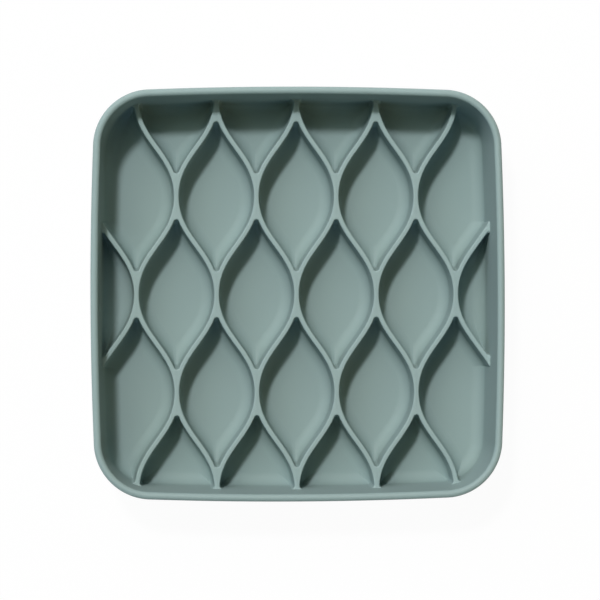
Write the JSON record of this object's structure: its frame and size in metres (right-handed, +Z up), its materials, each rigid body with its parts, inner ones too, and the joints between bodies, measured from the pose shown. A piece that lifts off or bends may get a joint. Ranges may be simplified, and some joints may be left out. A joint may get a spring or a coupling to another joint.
{
  "type": "slow feeder bowl",
  "caption": "Square slow feeder tray in soft silicone, with a rounded rim and wavy ribs that part its floor into pockets for food.",
  "frame": {"origin": "middle of the flat base, on the surface that the tray stands on", "axes": "+Z up, +Y towards the top of the picture, along the ribs, +X to its right"},
  "size_m": [0.23, 0.23, 0.044],
  "materials": {
    "silicone": "matte sage green silicone"
  },
  "bodies": {
    "root": {"tray_shell": "silicone", "wave_rib_1": "silicone", "wave_rib_2": "silicone", "wave_rib_3": "silicone", "wave_rib_4": "silicone", "wave_rib_5": "silicone", "wave_rib_6": "silicone", "wave_rib_7": "silicone", "wave_rib_8": "silicone", "side_rib_left": "silicone", "side_rib_right": "silicone"}
  },
  "joints": []
}
